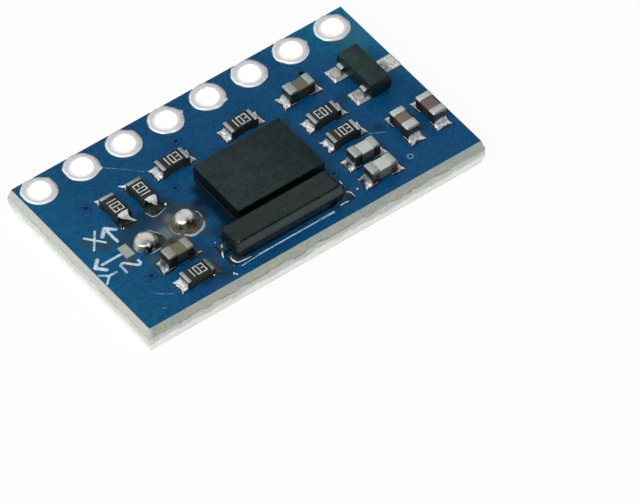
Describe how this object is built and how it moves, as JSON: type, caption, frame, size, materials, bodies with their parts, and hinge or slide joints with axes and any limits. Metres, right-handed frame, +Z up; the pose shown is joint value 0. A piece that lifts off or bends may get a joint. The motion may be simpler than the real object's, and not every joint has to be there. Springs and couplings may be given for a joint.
{
  "type": "orientation sensor module",
  "caption": "Small blue circuit board with a row of plated header holes, a motion sensor chip, a clock crystal, a regulator and small chip parts soldered on top.",
  "frame": {"origin": "centre of the board's underside, on the plane it rests on", "axes": "+X along the row of header holes, +Y towards that row, +Z up through the side that carries the parts"},
  "size_m": [0.0202, 0.0118, 0.0029],
  "materials": {
    "laminate": "satin, with a torn edge",
    "mask": "glossy",
    "tin": "bright, uneven",
    "solder": "bright, uneven",
    "leads": "satin",
    "copper": "satin",
    "mould": "fine matt",
    "substrate": "satin",
    "resistor_glass": "glossy",
    "tan_ceramic": "satin",
    "grey_ceramic": "satin"
  },
  "bodies": {
    "root": {"laminate": "laminate", "top_mask": "mask", "bottom_mask": "mask", "vias": "copper", "solder_lands": "tin", "sensor_cap": "mould", "sensor_substrate": "substrate", "sensor_joints": "solder", "crystal_body": "mould", "crystal_terminals": "leads", "crystal_solder": "solder", "regulator_body": "mould", "regulator_leads": "leads", "regulator_solder": "solder", "jumper_1": "solder", "jumper_2": "solder", "resistor_solder": "solder", "capacitor_solder": "solder", "header_hole_1": "tin", "header_hole_2": "tin", "header_hole_3": "tin", "header_hole_4": "tin", "header_hole_5": "tin", "header_hole_6": "tin", "header_hole_7": "tin", "header_hole_8": "tin", "resistor_1": "resistor_glass", "resistor_1_terminals": "leads", "resistor_2": "resistor_glass", "resistor_2_terminals": "leads", "resistor_3": "resistor_glass", "resistor_3_terminals": "leads", "resistor_4": "resistor_glass", "resistor_4_terminals": "leads", "resistor_5": "resistor_glass", "resistor_5_terminals": "leads", "resistor_6": "resistor_glass", "resistor_6_terminals": "leads", "resistor_7": "resistor_glass", "resistor_7_terminals": "leads", "capacitor_1": "tan_ceramic", "capacitor_1_terminals": "leads", "capacitor_2": "grey_ceramic", "capacitor_2_terminals": "leads", "capacitor_3": "grey_ceramic", "capacitor_3_terminals": "leads", "capacitor_4": "tan_ceramic", "capacitor_4_terminals": "leads", "capacitor_5": "tan_ceramic", "capacitor_5_terminals": "leads", "capacitor_6": "tan_ceramic", "capacitor_6_terminals": "leads"}
  },
  "joints": []
}
